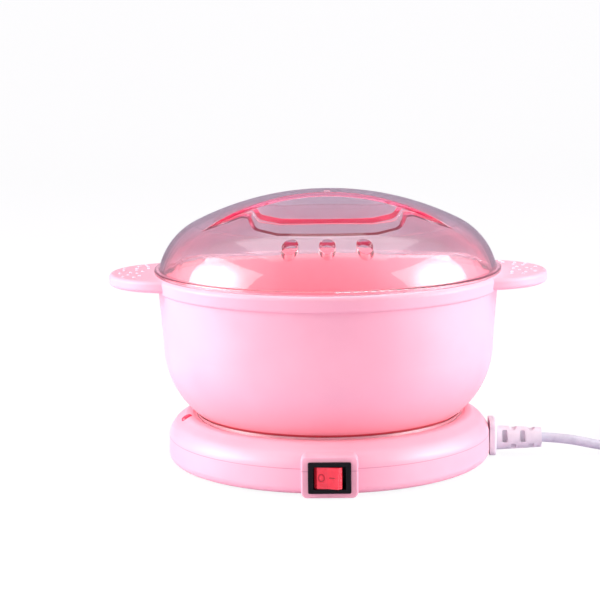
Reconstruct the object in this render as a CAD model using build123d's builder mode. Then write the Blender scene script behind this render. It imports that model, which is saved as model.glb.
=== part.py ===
"""Wax warmer pot: a heating base, a lift-out bowl with two ears, and a clear domed lid.

Millimetres, +Z up. The origin is on the ground, on the vertical axis of the bowl; -Y is the switch side.
"""

import os
from math import cos, hypot, pi, radians, sin, sqrt, tan

from build123d import *

# ---------------------------------------------------------------- driving dimensions
# base casing
BASE_R = 84.5
CASE_WALL = 2.4
CASE_FLOOR_Z = 1.5
PARTING_Z = 14.5
CREST_R, CREST_Z = 72.6, 26.0
LIP_TOP_Z = 23.9
LIP_R = 68.4
SKIRT_R, SKIRT_Z = 71.3, 17.8

# switch housing and switch
HOUSING_W, HOUSING_LOW_Z, HOUSING_TOP_Z = 27.8, 1.0, 22.0
HOUSING_FRONT_Y = -88.0
HOUSING_CORNER = 3.0
SWITCH_Z = 11.3
BEZEL_W, BEZEL_H, BEZEL_PROUD = 21.0, 15.4, 1.6
SWITCH_W, SWITCH_H, SWITCH_DEPTH = 19.2, 12.9, 11.5
ROCKER_HALF_W, ROCKER_H = 6.9, 10.6
ROCKER_PIVOT_Y = -84.0
ROCKER_TILT = 10.0

# heating plate and pot
RIM_R = 69.3
PLATE_WALL = 1.4
POT_FLOOR_Z = 20.5
POT_TURN_R, POT_TURN_Z = 86.1, 62.2
POT_ROUND = 44.7
POT_WALL = 2.4
POT_TOP_R, POT_TOP_Z = 88.9, 99.9
FLANGE_R, FLANGE_LOW_Z = 91.3, 91.8
EAR_R, EAR_TIP_X, EAR_THICK = 36.0, 114.2, 6.2
SEAT_GAP = 0.3

# lid
LID_R = 90.4
LID_RIM_Z = POT_TOP_Z + SEAT_GAP
LID_RIM_T = 2.3
LID_WALL = 2.5
LID_SKIRT_R = 85.9
LID_SKIRT_WALL, LID_SKIRT_DROP = 1.8, 2.4
DOME_TOP_Z = 142.2
CROWN_ROUND, SHOULDER_ROUND, CROWN_TURN = 155.0, 35.0, 26.6
RIDGE_HALF_W = 11.0
RIDGE_ARC_R = 98.1
VENT_R, VENT_PITCH, VENT_Y, VENT_Z = 4.0, 18.0, -74.0, 121.8

# cord
CORD_D = 5.0
CORD_Z = CORD_D / 2 + 0.1
GUARD_Z = 9.4
COIL_X, COIL_Y = 190.0, 31.3
COIL_TURNS_R = (23.5, 28.7, 33.9)
COIL_LAYERS = 2
COIL_TURN_COUNT = 5.25

# ---------------------------------------------------------------- worked-out places
FLOOR_TOP_Z = CASE_FLOOR_Z + CASE_WALL
POT_CENTRE_R = POT_TURN_R - POT_ROUND
PLATE_FLOOR_Z = POT_FLOOR_Z - SEAT_GAP
PLATE_UNDER_Z = PLATE_FLOOR_Z - PLATE_WALL
ELEMENT_T, CLAMP_T, SHIELD_T = 1.2, 1.0, 0.8
CLAMP_Z = PLATE_UNDER_Z - ELEMENT_T - CLAMP_T
NUT_H, NUT_FLAT = 3.2, 7.0
SPACER_H = 1.4
SHIELD_Z = CLAMP_Z - NUT_H - SPACER_H - SHIELD_T
STUD_R, STUD_CIRCLE_R, STUD_COUNT = 2.0, 40.0, 3
SCREW_CIRCLE_R, FOOT_CIRCLE_R = 74.5, 61.0
LAMP_X, LAMP_Y, LAMP_SEAT_Z = -74.0, -14.5, 24.2
LENS_R, LENS_STEM_R, LENS_BORE_R, LENS_PROUD = 3.0, 2.2, 1.6, 1.7
LENS_LEAN = 28.0
RIM_TOP_Z = 26.6
THERMOSTAT_LOW_Z = 8.6
FUSE_X, FUSE_Y, FUSE_R = 0.0, 26.0, 2.0
FUSE_Z = CLAMP_Z - FUSE_R
WIRE_HOLE_R = 3.5
WIRE_HOLES = [(0, -55.0), (30.0, 30.0), (-30.0, 30.0)]

lamp_turn = hypot(LAMP_X, LAMP_Y)
LAMP_PLANE = Plane(
    origin=(LAMP_X, LAMP_Y, LAMP_SEAT_Z),
    z_dir=(
        sin(radians(LENS_LEAN)) * LAMP_X / lamp_turn,
        sin(radians(LENS_LEAN)) * LAMP_Y / lamp_turn,
        cos(radians(LENS_LEAN)),
    ),
)
LAMP_FOOT = LAMP_PLANE.offset(-5.2).origin


def arc_r(z, centre_r, centre_z, radius):
    """Radius at height z of a round profile."""
    return centre_r + sqrt(radius**2 - (z - centre_z) ** 2)


def arc_mid(start, end, centre):
    """Point in the middle of the arc from start to end about centre."""
    radius = hypot(start[0] - centre[0], start[1] - centre[1])
    mx, my = (start[0] + end[0]) / 2 - centre[0], (start[1] + end[1]) / 2 - centre[1]
    scale = radius / hypot(mx, my)
    return centre[0] + mx * scale, centre[1] + my * scale


def finish(part, name):
    part.label = name
    export_step(part, f"parts/{name}.step")


def bowl_profile(offset, low_z, high_z):
    """Wall line of the bowl, moved out by offset: flat foot, round, then a drafted side up to high_z."""
    radius = POT_ROUND + offset
    centre = (POT_CENTRE_R, POT_TURN_Z)
    foot = (arc_r(low_z, *centre, radius), low_z)
    turn = (POT_TURN_R + offset, POT_TURN_Z)
    slope = (POT_TOP_R - POT_TURN_R) / (POT_TOP_Z - POT_TURN_Z)
    top = (turn[0] + slope * (high_z - POT_TURN_Z), high_z)
    Line((0, low_z), foot)
    ThreePointArc(foot, arc_mid(foot, turn, centre), turn)
    Line(turn, top)
    return top


os.makedirs("parts", exist_ok=True)

# ---------------------------------------------------------------- pot
EAR_CENTRE_X = EAR_TIP_X - EAR_R

with BuildPart() as ears:
    with BuildSketch(Plane.XY.offset(POT_TOP_Z)):
        with Locations((EAR_CENTRE_X, 0), (-EAR_CENTRE_X, 0)):
            Circle(EAR_R)
    extrude(amount=-EAR_THICK)
    fillet(ears.edges().filter_by(GeomType.CIRCLE), 2.0)

with BuildPart() as pot_space:
    with BuildSketch(Plane.XZ):
        with BuildLine():
            inner_top = bowl_profile(-POT_WALL, POT_FLOOR_Z + POT_WALL, POT_TOP_Z + 5)
            Polyline(inner_top, (0, POT_TOP_Z + 5), (0, POT_FLOOR_Z + POT_WALL))
        make_face()
    revolve(axis=Axis.Z)

with BuildPart() as pot:
    with BuildSketch(Plane.XZ):
        with BuildLine():
            outer_top = bowl_profile(0, POT_FLOOR_Z, POT_TOP_Z - 1)
            Polyline(outer_top, (0, POT_TOP_Z - 1), (0, POT_FLOOR_Z))
        make_face()
    revolve(axis=Axis.Z)
    add(ears.part)
    with BuildSketch(Plane.XZ) as flange_face:
        with BuildLine():
            Polyline(
                (0, FLANGE_LOW_Z),
                (FLANGE_R - 1.2, FLANGE_LOW_Z),
                (FLANGE_R, POT_TOP_Z),
                (0, POT_TOP_Z),
                close=True,
            )
        make_face()
        fillet(flange_face.vertices().sort_by(Axis.X)[-2:], 1.8)
    revolve(axis=Axis.Z)
    add(pot_space.part, mode=Mode.SUBTRACT)
finish(pot.part, "pot")

# ---------------------------------------------------------------- lid
VENTS = [(-VENT_PITCH, VENT_Y + 1.2), (0, VENT_Y - 0.6), (VENT_PITCH, VENT_Y + 1.2)]
CROWN_CENTRE = (0, DOME_TOP_Z - CROWN_ROUND)
SHOULDER_CENTRE = (
    (CROWN_ROUND - SHOULDER_ROUND) * sin(radians(CROWN_TURN)),
    CROWN_CENTRE[1] + (CROWN_ROUND - SHOULDER_ROUND) * cos(radians(CROWN_TURN)),
)
RIDGE_ARC_Y = -(RIDGE_HALF_W + RIDGE_ARC_R)
# right halves of the pocket's sections across the lid: a shelf just under the dome, and a deeper dip
SHELF = [(43.0, 132.5), (60.0, 126.5), (80.0, 119.4), (80.0, 160.0)]
DIP = [(24.0, 125.0), (35.0, 126.8), (39.0, 132.8), (46.0, 160.0)]
DIP_RISE = 0.035
SHELF_BEND, DIP_BEND, WALL_TOP_Z = 8.0, 4.0, 150.0


def dome_solid(inset, low_z):
    """Solid under the dome, inset from its outside all round, down to low_z."""
    crown, shoulder = CROWN_ROUND - inset, SHOULDER_ROUND - inset
    start = (arc_r(LID_RIM_Z, *SHOULDER_CENTRE, shoulder), LID_RIM_Z)
    turn = (crown * sin(radians(CROWN_TURN)), CROWN_CENTRE[1] + crown * cos(radians(CROWN_TURN)))
    top = (0, DOME_TOP_Z - inset)
    with BuildPart() as solid:
        with BuildSketch(Plane.XZ):
            with BuildLine():
                ThreePointArc(start, arc_mid(start, turn, SHOULDER_CENTRE), turn)
                ThreePointArc(turn, arc_mid(turn, top, CROWN_CENTRE), top)
                if low_z < LID_RIM_Z:
                    Polyline(top, (0, low_z), (LID_SKIRT_R - LID_SKIRT_WALL, low_z), start)
                else:
                    Polyline(top, (0, low_z), start)
            make_face()
        revolve(axis=Axis.Z)
    return solid.part


def pocket_section(plane, half, grow, bend):
    """Closed section of the pocket from its right half, grown by a wall, with bends in its floor."""
    with BuildSketch(plane) as section:
        with BuildLine():
            Polyline(*half, *[(-x, z) for x, z in reversed(half)], close=True)
        make_face()
        if grow:
            offset(amount=grow, kind=Kind.INTERSECTION)
        fillet(section.vertices().filter_by(lambda v: v.Z < WALL_TOP_Z and abs(v.X) < 62), bend + grow)
    return section.sketch


def finger_pocket(grow):
    """Space of the front finger pocket, grown by a wall and cut off by the ridge's arched face."""
    shelf = pocket_section(Plane.XZ, SHELF, grow, SHELF_BEND)
    dip = pocket_section(Plane((0, 0, 0), x_dir=(1, 0, 0), z_dir=(0, -1, DIP_RISE)), DIP, grow, DIP_BEND)
    with BuildPart() as space:
        add([extrude(shelf, amount=100), extrude(dip, amount=100)])
        with BuildSketch(Plane.XY.offset(100)):
            with Locations((0, RIDGE_ARC_Y)):
                Circle(RIDGE_ARC_R + grow)
        extrude(amount=60, mode=Mode.INTERSECT)
    return space.part


dome_outside, dome_inside = dome_solid(0, LID_RIM_Z), dome_solid(LID_WALL, LID_RIM_Z - 5)
pocket_outside, pocket_inside = finger_pocket(0), finger_pocket(LID_WALL)

with BuildPart() as lid_space:
    add(dome_inside)
    add([pocket_inside, pocket_inside.rotate(Axis.Z, 180)], mode=Mode.SUBTRACT)

with BuildPart() as lid:
    add(dome_outside)
    add([pocket_outside, pocket_outside.rotate(Axis.Z, 180)], mode=Mode.SUBTRACT)
    with BuildSketch(Plane.XZ) as rim:
        with BuildLine():
            Polyline(
                (0, LID_RIM_Z),
                (LID_R, LID_RIM_Z),
                (LID_R, LID_RIM_Z + LID_RIM_T),
                (0, LID_RIM_Z + LID_RIM_T),
                close=True,
            )
        make_face()
        fillet(rim.vertices().sort_by(Axis.X)[-2:], 0.8)
    revolve(axis=Axis.Z)
    with BuildSketch(Plane.XY.offset(LID_RIM_Z - LID_SKIRT_DROP)):
        Circle(LID_SKIRT_R)
    extrude(amount=LID_SKIRT_DROP + 1)
    add(lid_space.part, mode=Mode.SUBTRACT)
    with BuildSketch(Plane.XY.offset(VENT_Z - 12)):
        with Locations(*VENTS):
            Circle(VENT_R)
    extrude(amount=30, mode=Mode.SUBTRACT)
finish(lid.part, "lid")

# ---------------------------------------------------------------- base casing
HOUSING_Z = (HOUSING_LOW_Z + HOUSING_TOP_Z) / 2
HOUSING_H = HOUSING_TOP_Z - HOUSING_LOW_Z
HOUSING_WALL = 2.2
SHOULDER = [(82.4, 19.5), (80.3, 22.0), (77.0, 24.3)]
CORNERS = [(cos(radians(a)), sin(radians(a))) for a in (45, 135, 225, 315)]
SCREW_PLACES = [(SCREW_CIRCLE_R * x, SCREW_CIRCLE_R * y) for x, y in CORNERS]
FOOT_PLACES = [(FOOT_CIRCLE_R * x, FOOT_CIRCLE_R * y) for x, y in CORNERS]
SCREW_R, SCREW_HEAD_R, POST_R = 1.5, 2.9, 4.2
SCREW_HEAD_Z, SCREW_BITE = 5.0, 7.0
FOOT_R, FOOT_SEAT = 5.0, 0.8
GUARD_NECK_W, GUARD_NECK_LOW_Z = 10.0, 4.6
CLAMP_X, CLAMP_POST_Y, CLAMP_SPAN = 73.0, 8.5, 6.0
CLAMP_PLACES = [(CLAMP_X, -CLAMP_POST_Y), (CLAMP_X, CLAMP_POST_Y)]


def case_solid(inset, low_z, top_z):
    """Solid of the whole closed casing, inset all round, before it is parted."""
    side = BASE_R - inset
    with BuildPart() as solid:
        with BuildSketch(Plane.XZ):
            with BuildLine():
                Polyline((0, low_z), (side - 4.0, low_z))
                ThreePointArc((side - 4.0, low_z), (side - 1.2, low_z + 1.1), (side, low_z + 4.0))
                Line((side, low_z + 4.0), (side - 0.2, PARTING_Z))
                Spline(
                    (side - 0.2, PARTING_Z),
                    *[(r - inset, z - inset * (z - PARTING_Z) / (CREST_Z - PARTING_Z)) for r, z in SHOULDER],
                    (CREST_R, top_z),
                    tangents=[(0, 1), (-1, 0)],
                )
                Polyline((CREST_R, top_z), (0, top_z), (0, low_z))
            make_face()
        revolve(axis=Axis.Z)
    return solid.part


def housing_solid(inset):
    """Rounded box of the switch housing, from its front back into the casing."""
    with BuildPart() as solid:
        with BuildSketch(Plane.XZ.offset(-HOUSING_FRONT_Y - inset)):
            with Locations((0, HOUSING_Z)):
                RectangleRounded(HOUSING_W - 2 * inset, HOUSING_H - 2 * inset, HOUSING_CORNER - inset / 2)
        extrude(amount=-(14 - inset))
        if not inset:
            fillet(solid.faces().sort_by(Axis.Y)[0].edges(), 1.0)
    return solid.part


whole_case = case_solid(0, CASE_FLOOR_Z, CREST_Z)
case_hollow = case_solid(CASE_WALL, FLOOR_TOP_Z, CREST_Z - CASE_WALL)
housing, housing_hollow = housing_solid(0), housing_solid(HOUSING_WALL)

with BuildPart() as case_cuts:
    # what both shells leave open: the inside, the plate's seat, the switch, lamp and cord openings
    add([case_hollow, housing_hollow])
    with BuildSketch(Plane.XZ) as seat:
        with BuildLine():
            Polyline(
                (0, SKIRT_Z),
                (LIP_R, SKIRT_Z),
                (LIP_R, LIP_TOP_Z),
                (RIM_R + SEAT_GAP, LIP_TOP_Z),
                (RIM_R + SEAT_GAP, CREST_Z - 0.9),
                (CREST_R - 0.8, CREST_Z),
                (CREST_R - 0.8, CREST_Z + 5),
                (0, CREST_Z + 5),
                close=True,
            )
        make_face()
    revolve(axis=Axis.Z)
    with BuildSketch(Plane.XZ.offset(-HOUSING_FRONT_Y + 2)):
        with Locations((0, SWITCH_Z)):
            Rectangle(SWITCH_W + 0.1, SWITCH_H + 0.1)
    extrude(amount=-12)
    with BuildSketch(Plane.YZ.offset(BASE_R - 4)):
        with Locations((0, (GUARD_NECK_LOW_Z + PARTING_Z) / 2)):
            Rectangle(GUARD_NECK_W, PARTING_Z - GUARD_NECK_LOW_Z)
    extrude(amount=8)
    with BuildSketch(LAMP_PLANE.offset(-6)):
        Circle(LENS_STEM_R)
    extrude(amount=8)
    with BuildSketch(LAMP_PLANE):
        Circle(LENS_R + 0.1)
    extrude(amount=6)

with BuildPart() as skirt_ring:
    with BuildSketch(Plane.XY.offset(SKIRT_Z)):
        Circle(SKIRT_R)
        Circle(LIP_R + 1.0, mode=Mode.SUBTRACT)
    extrude(amount=LIP_TOP_Z - SKIRT_Z)
    with BuildSketch(Plane.XY.offset(LIP_TOP_Z - 2.2)):
        Circle(SKIRT_R)
        Circle(LIP_R, mode=Mode.SUBTRACT)
    extrude(amount=2.2)

with BuildPart() as screw_posts:
    with BuildSketch(Plane.XY.offset(CASE_FLOOR_Z)):
        with Locations(*SCREW_PLACES):
            Circle(POST_R)
    extrude(amount=LIP_TOP_Z - 0.5 - CASE_FLOOR_Z)
    add(whole_case, mode=Mode.INTERSECT)

with BuildPart() as base_upper_shell:
    add([whole_case, housing])
    add(case_cuts.part, mode=Mode.SUBTRACT)
    add([skirt_ring.part, screw_posts.part])
    split(bisect_by=Plane.XY.offset(PARTING_Z), keep=Keep.TOP)
    with Locations(*[(x, y, PARTING_Z) for x, y in SCREW_PLACES]):
        Cylinder(SCREW_R, SCREW_BITE, align=(Align.CENTER, Align.CENTER, Align.MIN), mode=Mode.SUBTRACT)
finish(base_upper_shell.part, "base_upper_shell")

with BuildPart() as base_lower_shell:
    add([whole_case, housing])
    add(case_cuts.part, mode=Mode.SUBTRACT)
    add(screw_posts.part)
    split(bisect_by=Plane.XY.offset(PARTING_Z), keep=Keep.BOTTOM)
    with BuildSketch(Plane.XY.offset(FLOOR_TOP_Z - 1)):
        with Locations(*CLAMP_PLACES):
            Circle(2.8)
    extrude(amount=GUARD_Z - FLOOR_TOP_Z + 1)
    with BuildSketch(Plane.XY.offset(FLOOR_TOP_Z + 1)):
        with Locations(*CLAMP_PLACES):
            Circle(1.3)
    extrude(amount=GUARD_Z - FLOOR_TOP_Z, mode=Mode.SUBTRACT)
    with Locations(*[(x, y, CASE_FLOOR_Z) for x, y in SCREW_PLACES]):
        Cylinder(SCREW_R + 0.2, PARTING_Z, align=(Align.CENTER, Align.CENTER, Align.MIN), mode=Mode.SUBTRACT)
        Cylinder(
            SCREW_HEAD_R + 0.2,
            SCREW_HEAD_Z - CASE_FLOOR_Z,
            align=(Align.CENTER, Align.CENTER, Align.MIN),
            mode=Mode.SUBTRACT,
        )
    with Locations(*[(x, y, CASE_FLOOR_Z) for x, y in FOOT_PLACES]):
        Cylinder(FOOT_R, FOOT_SEAT, align=(Align.CENTER, Align.CENTER, Align.MIN), mode=Mode.SUBTRACT)
finish(base_lower_shell.part, "base_lower_shell")

with BuildPart() as case_screws:
    for x, y in SCREW_PLACES:
        with BuildSketch(Plane.XY.offset(SCREW_HEAD_Z - 2.2)):
            with Locations((x, y)):
                Circle(SCREW_HEAD_R)
        extrude(amount=2.2)
        with BuildSketch(Plane.XY.offset(SCREW_HEAD_Z)):
            with Locations((x, y)):
                Circle(SCREW_R)
        extrude(amount=PARTING_Z + SCREW_BITE - SCREW_HEAD_Z - 1)
        with BuildSketch(Plane.XY.offset(SCREW_HEAD_Z - 2.2)):
            with Locations((x, y)):
                Rectangle(3.4, 0.8)
                Rectangle(0.8, 3.4)
        extrude(amount=1.2, mode=Mode.SUBTRACT)
finish(case_screws.part, "case_screws")

with BuildPart() as rubber_feet:
    with BuildSketch(Plane.XY.offset(CASE_FLOOR_Z + FOOT_SEAT)):
        with Locations(*FOOT_PLACES):
            Circle(FOOT_R)
    extrude(amount=-(CASE_FLOOR_Z + FOOT_SEAT), taper=8)
    fillet(rubber_feet.faces().filter_by(lambda f: f.center().Z < 0.01).edges(), 0.4)
finish(rubber_feet.part, "rubber_feet")

# ---------------------------------------------------------------- heating plate and what hangs under it
SHIELD_WALL_R, SHIELD_HOLE_R = 66.6, 14.0
SHIELD_FLANGE_R = SCREW_CIRCLE_R - POST_R - 0.1
ELEMENT_R, ELEMENT_HOLE_R = 52.0, 13.0
STUD_ANGLES = [radians(90 + 360 * n / STUD_COUNT) for n in range(STUD_COUNT)]
STUD_PLACES = [(STUD_CIRCLE_R * cos(a), STUD_CIRCLE_R * sin(a)) for a in STUD_ANGLES]
STUD_END_Z = SHIELD_Z - NUT_H - 0.8

with BuildPart() as heating_plate:
    with BuildSketch(Plane.XZ) as dish:
        with BuildLine():
            low, high = PLATE_UNDER_Z, LIP_TOP_Z
            centre = (POT_CENTRE_R, POT_TURN_Z)
            outer_round = POT_ROUND + 0.5 + PLATE_WALL
            inner_round = POT_ROUND + 0.5
            under_foot = (arc_r(low, *centre, outer_round), low)
            under_top = (arc_r(high, *centre, outer_round), high)
            seat_top = (arc_r(RIM_TOP_Z, *centre, inner_round), RIM_TOP_Z)
            seat_foot = (arc_r(PLATE_FLOOR_Z, *centre, inner_round), PLATE_FLOOR_Z)
            Line((0, low), under_foot)
            ThreePointArc(under_foot, arc_mid(under_foot, under_top, centre), under_top)
            Polyline(under_top, (RIM_R, high), (RIM_R, RIM_TOP_Z), seat_top)
            ThreePointArc(seat_top, arc_mid(seat_top, seat_foot, centre), seat_foot)
            Polyline(seat_foot, (0, PLATE_FLOOR_Z), (0, low))
        make_face()
        fillet(dish.vertices().filter_by(lambda v: v.Z > high + 0.5 and v.X > RIM_R - 0.1), 0.6)
    revolve(axis=Axis.Z)
finish(heating_plate.part, "heating_plate")

with BuildPart() as plate_studs:
    for place in STUD_PLACES:
        with BuildSketch(Plane.XY.offset(PLATE_UNDER_Z)):
            with Locations(place):
                Circle(STUD_R)
        extrude(amount=STUD_END_Z - PLATE_UNDER_Z)
finish(plate_studs.part, "plate_studs")


def disc_with_holes(z, thick, radius, hole_r, stud_gap):
    """Flat washer-like disc, bored for the thermostat and the studs."""
    with BuildPart() as disc:
        with BuildSketch(Plane.XY.offset(z)):
            Circle(radius)
            Circle(hole_r, mode=Mode.SUBTRACT)
            with Locations(*STUD_PLACES):
                Circle(STUD_R + stud_gap, mode=Mode.SUBTRACT)
        extrude(amount=thick)
    return disc.part


element_disc = disc_with_holes(CLAMP_Z + CLAMP_T, ELEMENT_T, ELEMENT_R, ELEMENT_HOLE_R, 0.4)
with BuildPart() as heating_element:
    add(element_disc)
    with BuildSketch(Plane.XY.offset(CLAMP_Z + CLAMP_T)):
        with Locations((0, -ELEMENT_R - 2)):
            Rectangle(16, 8)
    extrude(amount=ELEMENT_T)
finish(heating_element.part, "heating_element")

element_clamp = disc_with_holes(CLAMP_Z, CLAMP_T, ELEMENT_R - 2, ELEMENT_HOLE_R - 1, 0.2)
finish(element_clamp, "element_clamp")


def hex_nuts(z):
    """One nut on each stud, with its lower face at z."""
    with BuildPart() as nuts:
        with BuildSketch(Plane.XY.offset(z)):
            with Locations(*STUD_PLACES):
                RegularPolygon(NUT_FLAT / 2, 6, major_radius=False)
                Circle(STUD_R, mode=Mode.SUBTRACT)
        extrude(amount=NUT_H)
    return nuts.part


finish(hex_nuts(CLAMP_Z - NUT_H), "clamp_nuts")
finish(hex_nuts(SHIELD_Z - NUT_H), "shield_nuts")

with BuildPart() as shield_spacers:
    with BuildSketch(Plane.XY.offset(SHIELD_Z + SHIELD_T)):
        with Locations(*STUD_PLACES):
            Circle(NUT_FLAT / 2)
            Circle(STUD_R, mode=Mode.SUBTRACT)
    extrude(amount=SPACER_H)
finish(shield_spacers.part, "shield_spacers")

with BuildPart() as heat_shield:
    with BuildSketch(Plane.XZ) as pan:
        with BuildLine():
            Polyline(
                (SHIELD_HOLE_R, SHIELD_Z),
                (SHIELD_WALL_R, SHIELD_Z),
                (SHIELD_WALL_R, SKIRT_Z - SHIELD_T),
                (SHIELD_FLANGE_R, SKIRT_Z - SHIELD_T),
                (SHIELD_FLANGE_R, SKIRT_Z),
                (SHIELD_WALL_R - SHIELD_T, SKIRT_Z),
                (SHIELD_WALL_R - SHIELD_T, SHIELD_Z + SHIELD_T),
                (SHIELD_HOLE_R, SHIELD_Z + SHIELD_T),
                close=True,
            )
        make_face()
    revolve(axis=Axis.Z)
    with BuildSketch(Plane.XY.offset(SHIELD_Z)):
        with Locations(*STUD_PLACES):
            Circle(STUD_R + 0.2)
        with Locations(*WIRE_HOLES):
            Circle(WIRE_HOLE_R)
    extrude(amount=SHIELD_T, mode=Mode.SUBTRACT)
finish(heat_shield.part, "heat_shield")

# ---------------------------------------------------------------- thermostat and thermal fuse
with BuildPart() as thermostat_cap:
    with BuildSketch(Plane.XY.offset(PLATE_UNDER_Z)):
        Circle(8.6)
    extrude(amount=-2.4)
    with BuildSketch(Plane.XY.offset(PLATE_UNDER_Z - 2.4)):
        Circle(7.6)
    extrude(amount=1.4, mode=Mode.SUBTRACT)
finish(thermostat_cap.part, "thermostat_cap")

with BuildPart() as thermostat_body:
    with BuildSketch(Plane.XY.offset(PLATE_UNDER_Z - 1.0)):
        Circle(7.6)
    extrude(amount=-1.4)
    with BuildSketch(Plane.XY.offset(PLATE_UNDER_Z - 2.4)):
        Circle(8.3)
    extrude(amount=THERMOSTAT_LOW_Z - PLATE_UNDER_Z + 2.4)
    fillet(thermostat_body.faces().sort_by(Axis.Z)[0].edges(), 0.6)
finish(thermostat_body.part, "thermostat_body")

with BuildPart() as thermostat_terminals:
    for side in (-1, 1):
        with BuildSketch(Plane.XY.offset(THERMOSTAT_LOW_Z)):
            with Locations((side * 10.0, 0)):
                Rectangle(12.0, 6.3)
        extrude(amount=-0.8)
finish(thermostat_terminals.part, "thermostat_terminals")

with BuildPart() as thermal_fuse:
    with BuildSketch(Plane.YZ.offset(FUSE_X - 5.5)):
        with Locations((FUSE_Y, FUSE_Z)):
            Circle(FUSE_R)
    extrude(amount=11)
    with BuildSketch(Plane.YZ.offset(FUSE_X - 14)):
        with Locations((FUSE_Y, FUSE_Z)):
            Circle(0.5)
    extrude(amount=28)
finish(thermal_fuse.part, "thermal_fuse")

with BuildPart() as fuse_clip:
    with BuildSketch(Plane.YZ.offset(FUSE_X - 2.5)):
        with Locations((FUSE_Y, FUSE_Z)):
            Circle(FUSE_R + 0.4)
            Rectangle(2 * FUSE_R + 0.8, 2 * FUSE_R, align=(Align.CENTER, Align.MIN))
            Circle(FUSE_R, mode=Mode.SUBTRACT)
            with Locations((0, 2)):
                Rectangle(2 * FUSE_R, 4, mode=Mode.SUBTRACT)
        with Locations((FUSE_Y, CLAMP_Z - 0.25)):
            with Locations((5, 0), (-5, 0)):
                Rectangle(6, 0.5)
    extrude(amount=5)
    split(bisect_by=Plane.XY.offset(CLAMP_Z), keep=Keep.BOTTOM)
finish(fuse_clip.part, "fuse_clip")

# ---------------------------------------------------------------- switch
BEZEL_BACK_Y = HOUSING_FRONT_Y
BEZEL_FRONT_Y = BEZEL_BACK_Y - BEZEL_PROUD
SWITCH_BACK_Y = HOUSING_FRONT_Y + SWITCH_DEPTH
ROCKER_ROOM = 0.6
TRUNNION_R, TRUNNION_OUT = 1.2, 0.9

with BuildPart() as switch_body:
    with BuildSketch(Plane.XZ.offset(-BEZEL_BACK_Y)):
        with Locations((0, SWITCH_Z)):
            RectangleRounded(BEZEL_W, BEZEL_H, 0.8)
    extrude(amount=BEZEL_PROUD)
    fillet(switch_body.faces().sort_by(Axis.Y)[0].edges(), 0.5)
    with BuildSketch(Plane.XZ.offset(-BEZEL_BACK_Y)):
        with Locations((0, SWITCH_Z)):
            Rectangle(SWITCH_W, SWITCH_H)
    extrude(amount=-SWITCH_DEPTH)
    with BuildSketch(Plane.XZ.offset(-BEZEL_FRONT_Y + 1)):
        with Locations((0, SWITCH_Z)):
            Rectangle(2 * (ROCKER_HALF_W + ROCKER_ROOM + 0.4), ROCKER_H + ROCKER_ROOM)
    extrude(amount=-(BEZEL_PROUD + 9.0), mode=Mode.SUBTRACT)
    with BuildSketch(Plane.XY.offset(SWITCH_Z - ROCKER_H / 2 - 1.2)):
        with Locations((0, ROCKER_PIVOT_Y)):
            Circle(TRUNNION_R + 0.15)
    extrude(amount=ROCKER_H + 2.4, mode=Mode.SUBTRACT)
finish(switch_body.part, "switch_body")

with BuildPart() as rocker_level:
    with BuildSketch(Plane.XY.offset(SWITCH_Z - ROCKER_H / 2)):
        with BuildLine():
            Polyline(
                (-ROCKER_HALF_W, -87.9),
                (-5.2, -89.9),
                (0, -89.2),
                (5.2, -89.9),
                (ROCKER_HALF_W, -87.9),
                (ROCKER_HALF_W - 0.6, ROCKER_PIVOT_Y),
                (2.0, ROCKER_PIVOT_Y + 3.2),
                (-2.0, ROCKER_PIVOT_Y + 3.2),
                (0.6 - ROCKER_HALF_W, ROCKER_PIVOT_Y),
                close=True,
            )
        make_face()
    extrude(amount=ROCKER_H)
    with BuildSketch(Plane.XY.offset(SWITCH_Z - ROCKER_H / 2 - TRUNNION_OUT)):
        with Locations((0, ROCKER_PIVOT_Y)):
            Circle(TRUNNION_R)
    extrude(amount=ROCKER_H + 2 * TRUNNION_OUT)

# at rest the key is tilted to off, with its left end pressed in
rocker_pivot = Axis((0, ROCKER_PIVOT_Y, SWITCH_Z), (0, 0, 1))
finish(rocker_level.part.rotate(rocker_pivot, -ROCKER_TILT), "switch_rocker")

with BuildPart() as switch_terminals:
    for x in (-5.0, 2.0):
        with BuildSketch(Plane.XZ.offset(-SWITCH_BACK_Y)):
            with Locations((x, SWITCH_Z)):
                Rectangle(0.8, 4.8)
        extrude(amount=-7.0)
finish(switch_terminals.part, "switch_terminals")

# ---------------------------------------------------------------- indicator
with BuildPart() as indicator_lens:
    with BuildSketch(LAMP_PLANE):
        Circle(LENS_R)
    extrude(amount=LENS_PROUD)
    fillet(indicator_lens.edges().filter_by(GeomType.CIRCLE).sort_by(Axis.Z)[-1], 1.2)
    with BuildSketch(LAMP_PLANE):
        Circle(LENS_STEM_R - 0.1)
    extrude(amount=-4.5)
    with BuildSketch(LAMP_PLANE.offset(-4.5)):
        Circle(LENS_BORE_R)
    extrude(amount=4.0, mode=Mode.SUBTRACT)
finish(indicator_lens.part, "indicator_lens")

with BuildPart() as indicator_lamp:
    with BuildSketch(LAMP_PLANE.offset(-1.0)):
        Circle(LENS_BORE_R - 0.1)
    extrude(amount=-4.2)
    fillet(indicator_lamp.faces().sort_by(Axis.Z)[-1].edges(), 0.8)
finish(indicator_lamp.part, "indicator_lamp")

# ---------------------------------------------------------------- cord guard and cord grip
GUARD_COLLAR_X, GUARD_BODY_X, GUARD_END_X = BASE_R, 88.0, 112.0
GUARD_IN_X = 78.8
GUARD_BIG_R, GUARD_SMALL_R = 6.6, 5.2
GUARD_WEB_Y = 3.0
# place along the cord, height over its middle and length of each slot
GUARD_SLOTS = [(92.5, 1.8, 6.2), (97.2, -4.2, 4.0), (101.9, 1.6, 5.8), (106.6, -4.0, 4.0)]
INNER_CORD_X = 67.5


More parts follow.
